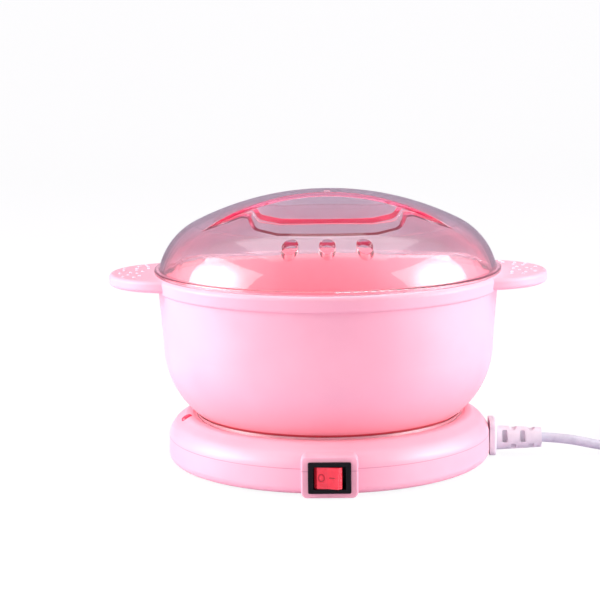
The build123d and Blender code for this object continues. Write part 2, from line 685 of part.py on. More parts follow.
def guard_r(x):
    """Radius of the guard's taper at x."""
    along = (x - GUARD_COLLAR_X) / (GUARD_END_X - GUARD_COLLAR_X)
    return GUARD_BIG_R + (GUARD_SMALL_R - GUARD_BIG_R) * along


with BuildPart() as strain_relief:
    with BuildSketch(Plane.YZ.offset(GUARD_COLLAR_X)):
        with Locations((0, 10.5)):
            RectangleRounded(16.0, 19.0, 3.0)
    extrude(amount=GUARD_BODY_X - GUARD_COLLAR_X)
    fillet(strain_relief.faces().sort_by(Axis.X)[-1].edges(), 1.2)
    with BuildSketch(Plane.YZ.offset(GUARD_COLLAR_X)):
        with Locations((0, (GUARD_NECK_LOW_Z + PARTING_Z) / 2)):
            Rectangle(GUARD_NECK_W - 0.1, PARTING_Z - GUARD_NECK_LOW_Z - 0.1)
    extrude(amount=GUARD_IN_X - GUARD_COLLAR_X)
    with BuildSketch(Plane.YZ.offset(GUARD_IN_X)):
        with Locations((0, PARTING_Z - 4.2)):
            RectangleRounded(14.0, 8.0, 1.0)
    extrude(amount=1.6)
    with BuildSketch(Plane.XZ):
        with BuildLine():
            Polyline(
                (GUARD_COLLAR_X, GUARD_Z),
                (GUARD_COLLAR_X, GUARD_Z + GUARD_BIG_R),
                (GUARD_END_X, GUARD_Z + GUARD_SMALL_R),
                (GUARD_END_X, GUARD_Z),
                close=True,
            )
        make_face()
    revolve(axis=Axis((0, 0, GUARD_Z), (1, 0, 0)))
    # staggered slots in both sides, with a groove over each low one, leave ribs, so that the guard bends
    for x, z, height in GUARD_SLOTS:
        for side in (-1, 1):
            with BuildSketch(Plane.XZ.offset(side * GUARD_WEB_Y)):
                with Locations((x, GUARD_Z + z)):
                    RectangleRounded(2.8, height, 0.8)
            extrude(amount=side * 10, mode=Mode.SUBTRACT)
        if z < 0:
            with BuildSketch(Plane.XZ.offset(-12)):
                with Locations((x, GUARD_Z + guard_r(x) + 1.0)):
                    Circle(2.2)
            extrude(amount=24, mode=Mode.SUBTRACT)
    with BuildSketch(Plane.YZ.offset(GUARD_IN_X - 1)):
        with Locations((0, GUARD_Z)):
            Circle(CORD_D / 2)
    extrude(amount=GUARD_END_X - GUARD_IN_X + 2, mode=Mode.SUBTRACT)
finish(strain_relief.part, "strain_relief")

with BuildPart() as inner_cord:
    with BuildSketch(Plane.YZ.offset(INNER_CORD_X)):
        with Locations((0, GUARD_Z)):
            Circle(CORD_D / 2)
    extrude(amount=GUARD_END_X - INNER_CORD_X)
finish(inner_cord.part, "inner_cord")

with BuildPart() as cord_clamp:
    with BuildSketch(Plane.YZ.offset(CLAMP_X - CLAMP_SPAN / 2)):
        with Locations((0, GUARD_Z + 1.7)):
            RectangleRounded(2 * CLAMP_POST_Y + 6, 3.4, 0.5)
        with Locations((0, GUARD_Z)):
            Circle(CORD_D / 2, mode=Mode.SUBTRACT)
    extrude(amount=CLAMP_SPAN)
    with Locations(*[(x, y, GUARD_Z) for x, y in CLAMP_PLACES]):
        Cylinder(1.6, 10, mode=Mode.SUBTRACT)
finish(cord_clamp.part, "cord_clamp")

with BuildPart() as clamp_screws:
    for place in CLAMP_PLACES:
        with BuildSketch(Plane.XY.offset(GUARD_Z + 3.4)):
            with Locations(place):
                Circle(2.6)
        extrude(amount=1.8)
        with BuildSketch(Plane.XY.offset(GUARD_Z + 3.4)):
            with Locations(place):
                Circle(1.3)
        extrude(amount=-7.5)
        with BuildSketch(Plane.XY.offset(GUARD_Z + 5.2)):
            with Locations(place):
                Rectangle(3.0, 0.7)
                Rectangle(0.7, 3.0)
        extrude(amount=-1.0, mode=Mode.SUBTRACT)
finish(clamp_screws.part, "clamp_screws")

BLOCK_X, BLOCK_L, BLOCK_W, BLOCK_H = 52.0, 16.0, 16.0, 6.5
CORE_Y = 4.0
CORE_Z = FLOOR_TOP_Z + 3.2

with BuildPart() as terminal_block:
    with BuildSketch(Plane.XY.offset(FLOOR_TOP_Z)):
        with Locations((BLOCK_X, 0)):
            RectangleRounded(BLOCK_L, BLOCK_W, 1.0)
    extrude(amount=BLOCK_H)
    with BuildSketch(Plane.XY.offset(FLOOR_TOP_Z + BLOCK_H)):
        with Locations((BLOCK_X, 0)):
            with GridLocations(7.0, 2 * CORE_Y, 2, 2):
                Circle(1.8)
    extrude(amount=-1.4, mode=Mode.SUBTRACT)
finish(terminal_block.part, "terminal_block")

# ---------------------------------------------------------------- inside wiring
WIRE_R, WIRE_BEND = 0.9, 2.5
BLOCK_IN_X, BLOCK_OUT_X = BLOCK_X + BLOCK_L / 2, BLOCK_X - BLOCK_L / 2
TERMINAL_TIP_Y = SWITCH_BACK_Y + 7.0
TAB_Y, TAB_Z = -55.0, CLAMP_Z + CLAMP_T
OVER_Z = SHIELD_Z + SHIELD_T + WIRE_R + 0.6
HOLE_RIGHT, HOLE_LEFT = WIRE_HOLES[1], WIRE_HOLES[2]
WIRES = {
    "cord_cores": [
        [(INNER_CORD_X, side * 1.2, GUARD_Z), (64.0, side * 2.4, 8.4), (BLOCK_IN_X, side * CORE_Y, CORE_Z)]
        for side in (-1, 1)
    ],
    "live_wire": [
        [
            (BLOCK_OUT_X, -CORE_Y, CORE_Z),
            (38, -6, 6),
            (24, -40, 6),
            (2, -64, 8),
            (2, TERMINAL_TIP_Y, SWITCH_Z),
        ],
    ],
    "switched_wire": [
        [
            (-5, TERMINAL_TIP_Y, SWITCH_Z),
            (-6, -64, 8),
            (-26, -50, 6),
            (-46, -10, 6),
            (*HOLE_LEFT, 6),
            (*HOLE_LEFT, OVER_Z),
            (FUSE_X - 14, FUSE_Y, FUSE_Z),
        ],
    ],
    "fuse_wire": [
        [
            (FUSE_X + 14, FUSE_Y, FUSE_Z),
            (*HOLE_RIGHT, OVER_Z),
            (*HOLE_RIGHT, 6),
            (26, 10, 6),
            (16.9, 0, THERMOSTAT_LOW_Z - 0.4),
        ],
    ],
    "heater_wire": [
        [
            (-16.9, 0, THERMOSTAT_LOW_Z - 0.4),
            (-22, -14, 6),
            (-8, -46, 8),
            (-1.6, TAB_Y, 10),
            (-1.6, TAB_Y, TAB_Z),
        ],
    ],
    "neutral_wire": [
        [
            (BLOCK_OUT_X, CORE_Y, CORE_Z),
            (34, 6, 6),
            (20, -20, 6),
            (8, -46, 8),
            (1.6, TAB_Y, 10),
            (1.6, TAB_Y, TAB_Z),
        ],
    ],
    "lamp_wires": [
        [
            (LAMP_FOOT.X + dx, LAMP_FOOT.Y + dy, LAMP_FOOT.Z),
            (-73.0 + dx, -14.3 + dy, 12),
            (-66.0 + dx, -18 + dy, 7),
            (-50 + dx, -34 + dy, 5.2),
            (-36 + dx, -44 + dy, 5.2),
        ]
        for dx, dy in ((-0.3, 1.0), (0.3, -1.2))
    ],
}


def wire(points, radius):
    """One insulated wire along straight runs with rounded bends."""
    with BuildPart() as core:
        with BuildLine() as path:
            FilletPolyline(*points, radius=radius)
        with BuildSketch(Plane(path.line @ 0, z_dir=path.line % 0)):
            Circle(WIRE_R)
        sweep()
    return core.part


for name, paths in WIRES.items():
    bundle = [wire(points, 1.2 if name == "cord_cores" else WIRE_BEND) for points in paths]
    finish(Compound(bundle) if len(bundle) > 1 else bundle[0], name)

# ---------------------------------------------------------------- power cord, stored coil and plug
COIL_OUT_R = COIL_TURNS_R[-1] + CORD_D / 2
COIL_IN_R = COIL_TURNS_R[0] - CORD_D / 2
COIL_TOP_Z = CORD_Z * 2 + (COIL_LAYERS - 1) * 5.1
CORD_ROUTE = [
    (GUARD_END_X, 0, GUARD_Z),
    (124.0, -0.2, 8.8),
    (140.0, -0.8, 5.6),
    (158.0, -1.8, CORD_Z),
    (175.0, -2.4, CORD_Z + 0.01),
    (COIL_X, COIL_Y - COIL_TURNS_R[-1], CORD_Z),
]
TAIL_Z = CORD_Z + 5.1
TAIL_ROUTE = [
    (COIL_X + COIL_TURNS_R[-1], COIL_Y, TAIL_Z),
    (COIL_X + COIL_TURNS_R[-1] - 0.2, COIL_Y + 13.0, TAIL_Z - 0.5),
    (COIL_X + COIL_TURNS_R[-1] - 1.2, COIL_Y + 27.0, TAIL_Z - 0.9),
]


def route_radii(points):
    """Arc radius at each corner: 0.45 of the shorter run over the tangent of half the turn."""
    radii = []
    for before, at, after in zip(points, points[1:], points[2:]):
        run_in, run_out = Vector(at) - Vector(before), Vector(after) - Vector(at)
        turn = radians(run_in.get_angle(run_out))
        radii.append(0.45 * min(run_in.length, run_out.length) / tan(turn / 2))
    return radii


def cord_tube(points, name):
    """Tube of the cord along a route of runs and tangent arcs; returns its length."""
    radii = route_radii(points)
    with BuildPart() as tube:
        with BuildLine() as path:
            FilletPolyline(*points, radius=radii)
        with BuildSketch(Plane(path.line @ 0, z_dir=path.line % 0)):
            Circle(CORD_D / 2)
        sweep()
    length = path.wires()[0].length
    plain_volume = pi * CORD_D**2 / 4 * length
    print(name, "arc radii", [round(r) for r in radii], "length", round(length, 1))
    print(name, "volume over section times length", round(tube.part.volume / plain_volume, 4))
    finish(tube.part, name)
    return length


loose_length = cord_tube(CORD_ROUTE, "power_cord") + cord_tube(TAIL_ROUTE, "cord_tail")
# the lead winds inwards in the low layer and comes back out in the high one
coil_length = COIL_TURN_COUNT * 2 * pi * sum(COIL_TURNS_R) / len(COIL_TURNS_R)
print("cord length", round(loose_length + coil_length))

with BuildPart() as cord_coil:
    with BuildSketch(Plane.XY.offset(CORD_Z - CORD_D / 2)):
        with Locations((COIL_X, COIL_Y)):
            Circle(COIL_OUT_R)
            Circle(COIL_IN_R, mode=Mode.SUBTRACT)
    extrude(amount=COIL_TOP_Z - CORD_Z + CORD_D / 2 - 0.1)
    fillet(cord_coil.edges().filter_by(GeomType.CIRCLE), 2.0)
finish(cord_coil.part, "cord_coil")

TIE_W, TIE_T = 5.0, 0.8
TIE_MID_R = (COIL_OUT_R + COIL_IN_R) / 2
DIAGONAL = sqrt(0.5)
TIE_PLANE = Plane(origin=(COIL_X, COIL_Y, 0), x_dir=(DIAGONAL, DIAGONAL, 0), z_dir=(DIAGONAL, -DIAGONAL, 0))

with BuildPart() as coil_tie:
    with BuildSketch(TIE_PLANE.offset(-TIE_W / 2)):
        with Locations((TIE_MID_R, (COIL_TOP_Z + TIE_T) / 2)):
            RectangleRounded(COIL_OUT_R - COIL_IN_R + 2 * TIE_T, COIL_TOP_Z + TIE_T, 2.4)
            RectangleRounded(COIL_OUT_R - COIL_IN_R, COIL_TOP_Z - TIE_T, 1.8, mode=Mode.SUBTRACT)
    extrude(amount=TIE_W)
finish(coil_tie.part, "coil_tie")

PLUG_X, PLUG_Y, PLUG_Z = TAIL_ROUTE[-1]
PLUG_T, PLUG_W = 13.6, 26.0
PLUG_RELIEF, PLUG_LEN = 13.0, 24.0
PIN_R, PIN_LEN, PIN_PITCH = 2.0, 19.0, 18.6

with BuildPart() as plug_body:
    with BuildSketch(Plane.XY.offset(PLUG_Z - PLUG_T / 2)):
        with BuildLine():
            back, front = PLUG_Y + PLUG_RELIEF - 1, PLUG_Y + PLUG_RELIEF + PLUG_LEN
            Polyline(
                (PLUG_X - 5, back),
                (PLUG_X + 5, back),
                (PLUG_X + PLUG_W / 2, back + 14),
                (PLUG_X + PLUG_W / 2, front),
                (PLUG_X - PLUG_W / 2, front),
                (PLUG_X - PLUG_W / 2, back + 14),
                close=True,
            )
        make_face()
    extrude(amount=PLUG_T)
    fillet(plug_body.edges().filter_by(Axis.Z), 2.0)
    fillet(plug_body.faces().filter_by(Axis.Z).edges(), 1.6)
    with BuildSketch(Plane.XZ.offset(-PLUG_Y)):
        with Locations((PLUG_X, PLUG_Z)):
            Circle(3.4)
    with BuildSketch(Plane.XZ.offset(-PLUG_Y - PLUG_RELIEF)):
        with Locations((PLUG_X, PLUG_Z)):
            Circle(4.8)
    loft()
finish(plug_body.part, "plug_body")

with BuildPart() as plug_pins:
    for side in (-1, 1):
        with BuildSketch(Plane.XZ.offset(-PLUG_Y - PLUG_RELIEF - PLUG_LEN)):
            with Locations((PLUG_X + side * PIN_PITCH / 2, PLUG_Z)):
                Circle(PIN_R)
        extrude(amount=-PIN_LEN)
    fillet(plug_pins.faces().group_by(Axis.Y)[-1].edges(), 0.9)
finish(plug_pins.part, "plug_pins")
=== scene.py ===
from math import cos, hypot, pi, radians, sin, sqrt

import bpy
from mathutils import Matrix, Vector, noise


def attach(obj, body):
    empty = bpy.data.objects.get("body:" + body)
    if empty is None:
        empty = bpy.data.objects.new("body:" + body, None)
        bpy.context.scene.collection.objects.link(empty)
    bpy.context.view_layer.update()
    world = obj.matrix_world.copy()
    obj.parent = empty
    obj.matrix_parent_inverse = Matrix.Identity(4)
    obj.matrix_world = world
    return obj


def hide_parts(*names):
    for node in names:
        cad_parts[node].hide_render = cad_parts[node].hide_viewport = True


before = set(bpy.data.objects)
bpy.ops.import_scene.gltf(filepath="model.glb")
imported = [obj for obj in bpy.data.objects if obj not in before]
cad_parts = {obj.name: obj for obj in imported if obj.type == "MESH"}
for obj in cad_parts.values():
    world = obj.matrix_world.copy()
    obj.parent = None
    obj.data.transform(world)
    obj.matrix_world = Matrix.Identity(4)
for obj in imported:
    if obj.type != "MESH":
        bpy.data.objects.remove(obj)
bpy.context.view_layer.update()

MM = 0.001


# ---- Where it stands: camera, table and lamps -------------------------------------------------
# The warmer stands on a pale table in a light tent: a broad soft lamp on each side, one overhead,
# and a dim front, so that its satin plastic is pale at both edges and deeper in the middle.
CAMERA_BACK, CAMERA_HEIGHT, CAMERA_LENS = 0.950, 0.2391, 110.2
CAMERA_DOWN, CAMERA_YAW, CAMERA_ROLL = 9.263, 0.881, -0.70

camera = bpy.data.objects.new("camera", bpy.data.cameras.new("camera"))
bpy.context.scene.collection.objects.link(camera)
camera.data.lens = CAMERA_LENS
camera.data.sensor_width = 36.0
camera.data.clip_start = 0.01
yaw = Matrix.Rotation(radians(CAMERA_YAW), 4, "Z")
pitch = Matrix.Rotation(radians(90 - CAMERA_DOWN), 4, "X")
roll = Matrix.Rotation(radians(CAMERA_ROLL), 4, "Z")
camera.matrix_world = Matrix.Translation((0, -CAMERA_BACK, CAMERA_HEIGHT)) @ yaw @ pitch @ roll
bpy.context.scene.camera = camera


class Graph:
    """Node tree of one material: `node` adds any node, and its outputs come back as Socket."""

    def __init__(self, name):
        self.material = bpy.data.materials.new(name)
        self.material.use_nodes = True
        self.tree = self.material.node_tree
        self.tree.nodes.clear()
        self.output = self.tree.nodes.new("ShaderNodeOutputMaterial")

    def node(self, kind, settings=None, **inputs):
        made = self.tree.nodes.new(kind)
        for name, value in (settings or {}).items():
            setattr(made, name, value)
        for name, value in inputs.items():
            key = int(name[1:]) if name[0] == "i" and name[1:].isdigit() else name.replace("_", " ")
            self.feed(made.inputs[key], value)
        return made

    def feed(self, socket, value):
        if isinstance(value, Socket):
            self.tree.links.new(value.socket, socket)
        else:
            socket.default_value = value

    def out(self, kind, settings=None, pick=0, **inputs):
        return Socket(self, self.node(kind, settings, **inputs).outputs[pick])

    def shader(self, **inputs):
        made = self.node("ShaderNodeBsdfPrincipled", None, **inputs)
        self.tree.links.new(made.outputs[0], self.output.inputs["Surface"])
        return made

    def place(self):
        """Object-space position, in metres."""
        return self.out("ShaderNodeTexCoord", pick=3)

    def noise(self, scale, detail=3.0):
        return self.out("ShaderNodeTexNoise", Vector=self.place(), Scale=scale, Detail=detail)

    def mix(self, amount, first, second):
        """Colour between first and second."""
        settings = {"data_type": "RGBA", "blend_type": "MIX"}
        return self.out("ShaderNodeMix", settings, pick=2, i0=amount, i6=first, i7=second)

    def bump(self, height, distance, strength=1.0):
        return self.out("ShaderNodeBump", Height=height, Distance=distance, Strength=strength)


class Socket:
    """A value in a node tree; arithmetic on it adds Math nodes."""

    def __init__(self, graph, socket):
        self.graph, self.socket = graph, socket

    def math(self, operation, *values):
        values = {f"i{n}": v for n, v in enumerate(values)}
        return self.graph.out("ShaderNodeMath", {"operation": operation}, **values)

    def __add__(self, other):
        return self.math("ADD", self, other)

    def __mul__(self, other):
        return self.math("MULTIPLY", self, other)

    def __sub__(self, other):
        return self.math("SUBTRACT", self, other)

    def __rsub__(self, other):
        return self.math("SUBTRACT", other, self)

    __radd__, __rmul__ = __add__, __mul__

    def __abs__(self):
        return self.math("ABSOLUTE", self)

    def step(self, low, high):
        """0 below low, 1 above high, smooth between."""
        smoothly = {"interpolation_type": "SMOOTHSTEP"}
        return self.graph.out("ShaderNodeMapRange", smoothly, Value=self, From_Min=low, From_Max=high)


def smooth(obj, angle):
    """Smooth shading with hard edges kept where faces meet at more than angle."""
    obj.data.shade_smooth()
    obj.data.set_sharp_from_angle(angle=radians(angle))


def stand(name, vertices, faces):
    """Mesh object from plain lists, linked to the scene."""
    mesh = bpy.data.meshes.new(name)
    mesh.from_pydata(vertices, [], faces)
    mesh.validate()
    obj = bpy.data.objects.new(name, mesh)
    bpy.context.scene.collection.objects.link(obj)
    return obj


# the camera sees the paper bleached almost white; the lid and the plate see its real grey-lilac
PAPER_LILAC, PAPER_WARM = (0.68, 0.62, 0.75, 1), (0.72, 0.66, 0.78, 1)
PAPER_BLEACH, PAPER_LIGHT = 0.86, 1.08
paper = Graph("table_paper")
grain = paper.noise(40.0)
paper_skin = paper.shader(Base_Color=paper.mix(grain, PAPER_LILAC, PAPER_WARM), Roughness=grain * 0.1 + 0.6)
glow = paper.node("ShaderNodeEmission", Color=(1, 1, 1, 1), Strength=PAPER_LIGHT)
seen = paper.out("ShaderNodeLightPath", pick=0) * PAPER_BLEACH
bleach = paper.node("ShaderNodeMixShader", Fac=seen)
paper.tree.links.new(paper_skin.outputs[0], bleach.inputs[1])
paper.tree.links.new(glow.outputs[0], bleach.inputs[2])
paper.tree.links.new(bleach.outputs[0], paper.output.inputs["Surface"])
SWEEP_NEAR, SWEEP_FAR, SWEEP_WIDE, SWEEP_BEND, SWEEP_TOP = -2.5, 1.6, 4.0, 0.8, 3.0
line = [(SWEEP_NEAR, 0.0), (SWEEP_FAR, 0.0)]
line += [
    (SWEEP_FAR + SWEEP_BEND * sin(radians(a)), SWEEP_BEND * (1 - cos(radians(a)))) for a in range(6, 91, 6)
]
line.append((SWEEP_FAR + SWEEP_BEND, SWEEP_TOP))
table = stand(
    "table",
    [(x, y, z) for y, z in line for x in (-SWEEP_WIDE, SWEEP_WIDE)],
    [(2 * n, 2 * n + 1, 2 * n + 3, 2 * n + 2) for n in range(len(line) - 1)],
)
table.data.shade_smooth()
table.data.materials.append(paper.material)

TENT_COLOUR, TENT_BRIGHT = (0.985, 0.95, 0.985, 1), 0.45
world = bpy.data.worlds.new("tent")
world.use_nodes = True
tent = world.node_tree.nodes["Background"]
tent.inputs["Color"].default_value = TENT_COLOUR
tent.inputs["Strength"].default_value = TENT_BRIGHT
bpy.context.scene.world = world
bpy.context.scene.view_settings.view_transform = "Standard"

CLOTH_BRIGHT, CLOTH_CORE, CLOTH_EDGE = 11.0, 0.10, 0.47
lamp_cloth = Graph("lamp_cloth")
from_middle = lamp_cloth.out("ShaderNodeVectorMath", {"operation": "LENGTH"}, pick=1, i0=lamp_cloth.place())
fade = lamp_cloth.mix(from_middle.step(CLOTH_CORE, CLOTH_EDGE), (1, 1, 1, 1), (0, 0, 0, 1))
cloth_light = lamp_cloth.node("ShaderNodeEmission", Color=fade, Strength=CLOTH_BRIGHT)
lamp_cloth.tree.links.new(cloth_light.outputs[0], lamp_cloth.output.inputs["Surface"])

LAMP_AIM = Vector((0, 0, 0.07))
# name, place, size, watts, whether gloss mirrors its cloth
LAMPS = [
    ("left_tent", (-0.90, -0.16, 0.36), (0.9, 0.9), 15.0, True),
    ("right_tent", (0.90, -0.16, 0.36), (0.9, 0.9), 13.0, True),
    ("top_tent", (0.0, 0.1, 1.1), (1.2, 0.9), 4.0, False),
]
for name, place, size, watts, mirrored in LAMPS:
    light = bpy.data.lights.new(name, "AREA")
    light.shape = "RECTANGLE"
    light.size, light.size_y = size
    light.energy = watts
    lamp = bpy.data.objects.new(name, light)
    lamp.location = place
    lamp.rotation_euler = (LAMP_AIM - Vector(place)).to_track_quat("-Z", "Y").to_euler()
    bpy.context.scene.collection.objects.link(lamp)
    if mirrored:
        # what gloss mirrors is the lamp's cloth, bright in the middle and dim at its edges
        lamp.visible_glossy = False
        half_x, half_y = size[0] / 2, size[1] / 2
        corners = [(-half_x, -half_y, 0), (half_x, -half_y, 0), (half_x, half_y, 0), (-half_x, half_y, 0)]
        cloth = stand(name + "_cloth", corners, [(0, 1, 2, 3)])
        cloth.matrix_world = Matrix.Translation(place) @ lamp.rotation_euler.to_matrix().to_4x4()
        cloth.data.materials.append(lamp_cloth.material)
        cloth.visible_camera = cloth.visible_diffuse = cloth.visible_shadow = False
        cloth.visible_transmission = False

# ---- Mains lead ---------------------------------------------------------------------------------
# A round two-core lead of 5 mm, sheathed in pale grey-lilac PVC and moulded on to its plug. It drops
# from the guard to the table, and what isn't needed is wound into a neat coil of two layers.
LEAD_THICK, LEAD_LENGTH = 0.005, 1.053
LEAD_ROUTE = [
    (112, 0, 9.4),
    (124, -0.2, 8.8),
    (140, -0.8, 5.6),
    (158, -1.8, 2.6),
    (175, -2.4, 2.61),
]
LEAD_TAIL = [(223.9, 31.3, 7.7), (223.7, 44.3, 7.2), (222.7, 58.3, 6.8)]
COIL_CENTRE, COIL_RINGS, COIL_LAYERS_Z = (190, 31.3), (33.9, 28.7, 23.5), (2.6, 7.7)
STEPS_PER_TURN = 24
# angle where each stretch of the winding ends, its radius there and its height
WINDING = [
    (-90, COIL_RINGS[0], COIL_LAYERS_Z[0]),
    (210, COIL_RINGS[0], COIL_LAYERS_Z[0]),
    (270, COIL_RINGS[1], COIL_LAYERS_Z[0]),
    (570, COIL_RINGS[1], COIL_LAYERS_Z[0]),
    (630, COIL_RINGS[2], COIL_LAYERS_Z[0]),
    (840, COIL_RINGS[2], COIL_LAYERS_Z[0]),
    (920, COIL_RINGS[2], COIL_LAYERS_Z[1]),
    (1130, COIL_RINGS[2], COIL_LAYERS_Z[1]),
    (1200, COIL_RINGS[1], COIL_LAYERS_Z[1]),
    (1490, COIL_RINGS[1], COIL_LAYERS_Z[1]),
    (1560, COIL_RINGS[0], COIL_LAYERS_Z[1]),
    (1800, COIL_RINGS[0], COIL_LAYERS_Z[1]),
]


def winding_at(angle):
    """Point of the coil at that angle, in millimetres."""
    for (a0, r0, z0), (a1, r1, z1) in zip(WINDING, WINDING[1:]):
        if angle <= a1:
            part = (angle - a0) / (a1 - a0)
            part = part * part * (3 - 2 * part)
            radius, height = r0 + (r1 - r0) * part, z0 + (z1 - z0) * part
            break
    turn = radians(angle)
    return COIL_CENTRE[0] + radius * cos(turn), COIL_CENTRE[1] + radius * sin(turn), height


turn_step = 360 // STEPS_PER_TURN
coil_turns = [winding_at(a) for a in range(WINDING[0][0], WINDING[-1][0], turn_step)]
lead_points = LEAD_ROUTE + coil_turns + LEAD_TAIL
lead_curve = bpy.data.curves.new("mains_lead", "CURVE")
lead_curve.dimensions = "3D"
lead_curve.bevel_depth = LEAD_THICK / 2
lead_curve.bevel_resolution = 5
lead_spline = lead_curve.splines.new("NURBS")
lead_spline.points.add(len(lead_points) - 1)
for point, place in zip(lead_spline.points, lead_points):
    point.co = (place[0] * MM, place[1] * MM, place[2] * MM, 1)
lead_spline.order_u = 3
lead_spline.use_endpoint_u = True
lead_spline.resolution_u = 6
mains_lead = bpy.data.objects.new("mains_lead", lead_curve)
bpy.context.scene.collection.objects.link(mains_lead)

# grey-lilac PVC: satin, with a faint drawn grain and handling marks
LEAD_PALE, LEAD_GREY = (0.62, 0.61, 0.70, 1), (0.53, 0.52, 0.61, 1)
lead_pvc = Graph("lead_pvc")
marks = lead_pvc.noise(260.0, 4.0)
fine = lead_pvc.noise(2600.0, 2.0)
lead_pvc.shader(
    Base_Color=lead_pvc.mix(marks.step(0.35, 0.75), LEAD_PALE, LEAD_GREY),
    Roughness=marks * 0.16 + 0.34,
    Normal=lead_pvc.bump(fine, 0.00004, 0.5),
)
mains_lead.data.materials.append(lead_pvc.material)


def dress(graph, *names):
    """Gives CAD nodes one finish, smooth, with their hard edges kept."""
    for name in names:
        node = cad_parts[name]
        smooth(node, 30)
        for place in node.material_slots:
            place.material = graph.material


dress(lead_pvc, "plug_body", "inner_cord")
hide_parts("power_cord", "cord_tail", "cord_coil")
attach(mains_lead, "base")

# ---- Plug pins and coil tie ---------------------------------------------------------------------
# Two round plug pins of nickel-plated brass, and a white twist tie that holds the coil.
plug_nickel = Graph("plug_nickel")
scratch = plug_nickel.noise(900.0, 4.0)
plug_nickel.shader(
    Base_Color=plug_nickel.mix(scratch, (0.62, 0.60, 0.57, 1), (0.76, 0.74, 0.70, 1)),
    Metallic=1.0,
    Roughness=scratch * 0.16 + 0.16,
)
dress(plug_nickel, "plug_pins")

tie_film = Graph("tie_film")
crease = tie_film.noise(700.0, 3.0)
tie_film.shader(
    Base_Color=tie_film.mix(crease, (0.80, 0.80, 0.83, 1), (0.90, 0.90, 0.92, 1)),
    Roughness=crease * 0.2 + 0.3,
    Normal=tie_film.bump(crease, 0.0002, 0.4),
)
dress(tie_film, "coil_tie")

# ---- Cord guard ---------------------------------------------------------------------------------
# A tapered guard of the same soft PVC, held in the casing by its collar. Staggered slots leave ribs
# round the lead, so that it bends there without a kink.
guard_pvc = Graph("guard_pvc")
cloud = guard_pvc.noise(180.0, 4.0)
grit = guard_pvc.noise(3000.0, 2.0)
guard_pvc.shader(
    Base_Color=guard_pvc.mix(cloud.step(0.3, 0.8), (0.77, 0.74, 0.80, 1), (0.68, 0.65, 0.72, 1)),
    Roughness=cloud * 0.14 + 0.36,
    Normal=guard_pvc.bump(grit, 0.00004, 0.6),
)
dress(guard_pvc, "strain_relief")

# ---- Casing -------------------------------------------------------------------------------------
# Two moulded shells of pink ABS, satin, screwed together from below. They meet at a fine seam round
# the side; the upper one turns over a soft shoulder to the raised rim round the plate.
SEAM_Z, SEAM_HALF = 0.0145, 0.00014
CASE_PINK, CASE_DEEP, SEAM_SHADE = (0.93, 0.45, 0.55, 1), (0.90, 0.40, 0.50, 1), (0.74, 0.28, 0.38, 1)

case_abs = Graph("case_abs")
height = case_abs.out("ShaderNodeSeparateXYZ", pick=2, Vector=case_abs.place())
seam = 1 - abs(height - SEAM_Z).step(SEAM_HALF, 2.2 * SEAM_HALF)
cloud = case_abs.noise(24.0, 3.0)
grain = case_abs.noise(2400.0, 3.0)
case_abs.shader(
    Base_Color=case_abs.mix(seam, case_abs.mix(cloud.step(0.3, 0.7), CASE_PINK, CASE_DEEP), SEAM_SHADE),
    Roughness=cloud * 0.10 + 0.33,
    Normal=case_abs.bump(grain * 0.25 - seam, 0.00012, 0.5),
)
dress(case_abs, "base_upper_shell", "base_lower_shell")

# ---- Feet and screws ----------------------------------------------------------------------------
# Four grey rubber feet pressed into shallow seats, and four zinc-plated self-tapping screws.
foot_rubber = Graph("foot_rubber")
dust = foot_rubber.noise(500.0, 4.0)
foot_rubber.shader(
    Base_Color=foot_rubber.mix(dust, (0.42, 0.40, 0.41, 1), (0.56, 0.54, 0.55, 1)),
    Roughness=dust * 0.2 + 0.62,
    Normal=foot_rubber.bump(dust, 0.0002, 0.4),
)
dress(foot_rubber, "rubber_feet")

zinc = Graph("zinc_steel")
spangle = zinc.noise(420.0, 3.0)
zinc.shader(
    Base_Color=zinc.mix(spangle, (0.50, 0.51, 0.52, 1), (0.68, 0.69, 0.70, 1)),
    Metallic=1.0,
    Roughness=spangle * 0.22 + 0.24,
    Normal=zinc.bump(spangle, 0.0001, 0.3),
)
dress(
    zinc,
    *("case_screws", "clamp_screws", "plate_studs", "clamp_nuts", "shield_nuts", "element_clamp"),
    *("heat_shield", "fuse_clip", "thermal_fuse"),
)

# ---- Heating plate ------------------------------------------------------------------------------
# A dish of spun aluminium in which the pot stands. Its rolled rim shows as a bright ring in the
# casing, with the fine rings that the spinning leaves.
RING_PITCH = 0.0007

plate_alloy = Graph("plate_alloy")
where = plate_alloy.place()
across = plate_alloy.out("ShaderNodeVectorMath", {"operation": "MULTIPLY"}, i0=where, i1=(1, 1, 0))
from_axis = plate_alloy.out("ShaderNodeVectorMath", {"operation": "LENGTH"}, pick=1, i0=across)
turned = from_axis * (2 * pi / RING_PITCH)
rings = turned.math("SINE", turned)
heat = plate_alloy.noise(60.0, 3.0)
plate_alloy.shader(
    Base_Color=plate_alloy.mix(heat.step(0.3, 0.8), (0.97, 0.96, 0.97, 1), (0.90, 0.89, 0.90, 1)),
    Metallic=1.0,
    Roughness=heat * 0.14 + 0.24,
    Normal=plate_alloy.bump(rings, 0.00002, 0.5),
)
dress(plate_alloy, "heating_plate", "thermostat_cap")

# ---- Heater, thermostat and fuse ----------------------------------------------------------------
# A flat mica heater clamped under the plate, ceramic spacers that hold the shield off it, and a
# snap thermostat in dark phenolic resin with tinned brass tabs.
mica = Graph("mica_board")
flake = mica.noise(320.0, 5.0)
mica.shader(
    Base_Color=mica.mix(flake.step(0.4, 0.65), (0.42, 0.36, 0.22, 1), (0.60, 0.54, 0.38, 1)),
    Roughness=flake * 0.3 + 0.35,
    Normal=mica.bump(flake, 0.0003, 0.5),
)
dress(mica, "heating_element")

